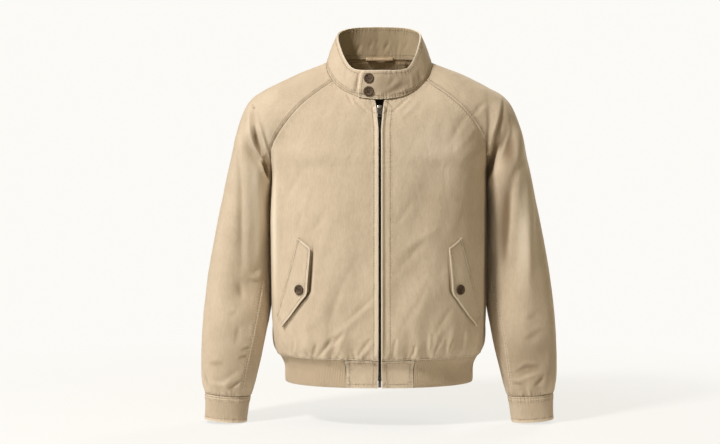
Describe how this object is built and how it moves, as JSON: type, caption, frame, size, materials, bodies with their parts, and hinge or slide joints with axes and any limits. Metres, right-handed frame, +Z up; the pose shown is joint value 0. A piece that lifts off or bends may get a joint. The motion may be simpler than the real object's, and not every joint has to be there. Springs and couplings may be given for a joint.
{
  "type": "harrington jacket",
  "caption": "Beige cotton harrington jacket with raglan sleeves, buttoned stand collar, zipped front, slanted flap pockets and a rib knit waistband.",
  "frame": {"origin": "middle of the neck, level with the points where the shoulders meet the collar; a wearer's or mannequin's neck holds the jacket there", "axes": "+Z up along the wearer's body, -Y the front with the zip, +X the wearer's left"},
  "size_m": [0.71, 0.2767, 0.7897],
  "materials": {
    "shell_cotton": "matt woven cotton",
    "rib_knit": "matt rib knit",
    "button_brown": "satin",
    "zip_tape": "matt woven tape",
    "zip_metal": "dark nickel"
  },
  "bodies": {
    "jacket": {"back": "shell_cotton", "back_neck_facing": "shell_cotton", "collar": "shell_cotton", "collar_button_lower": "button_brown", "collar_button_upper": "button_brown", "cuff_left": "shell_cotton", "cuff_right": "shell_cotton", "front_left": "shell_cotton", "front_right": "shell_cotton", "hanger_loop": "shell_cotton", "pocket_button_left": "button_brown", "pocket_button_right": "button_brown", "pocket_flap_left": "shell_cotton", "pocket_flap_right": "shell_cotton", "sleeve_left": "shell_cotton", "sleeve_right": "shell_cotton", "waistband_front_left": "shell_cotton", "waistband_front_right": "shell_cotton", "waistband_rib": "rib_knit", "zip_box": "zip_metal", "zip_chain": "zip_metal", "zip_slider": "zip_metal", "zip_tape_left": "zip_tape", "zip_tape_right": "zip_tape"},
    "zip_pull": {"zip_pull": "zip_metal"}
  },
  "joints": [
    {"name": "zip_pull_swing", "type": "hinge", "parent": "jacket", "child": "zip_pull", "pos_m": [0, -0.10028, -0.09185], "axis": [-1, 0, 0], "range_deg": [0, 120]}
  ]
}
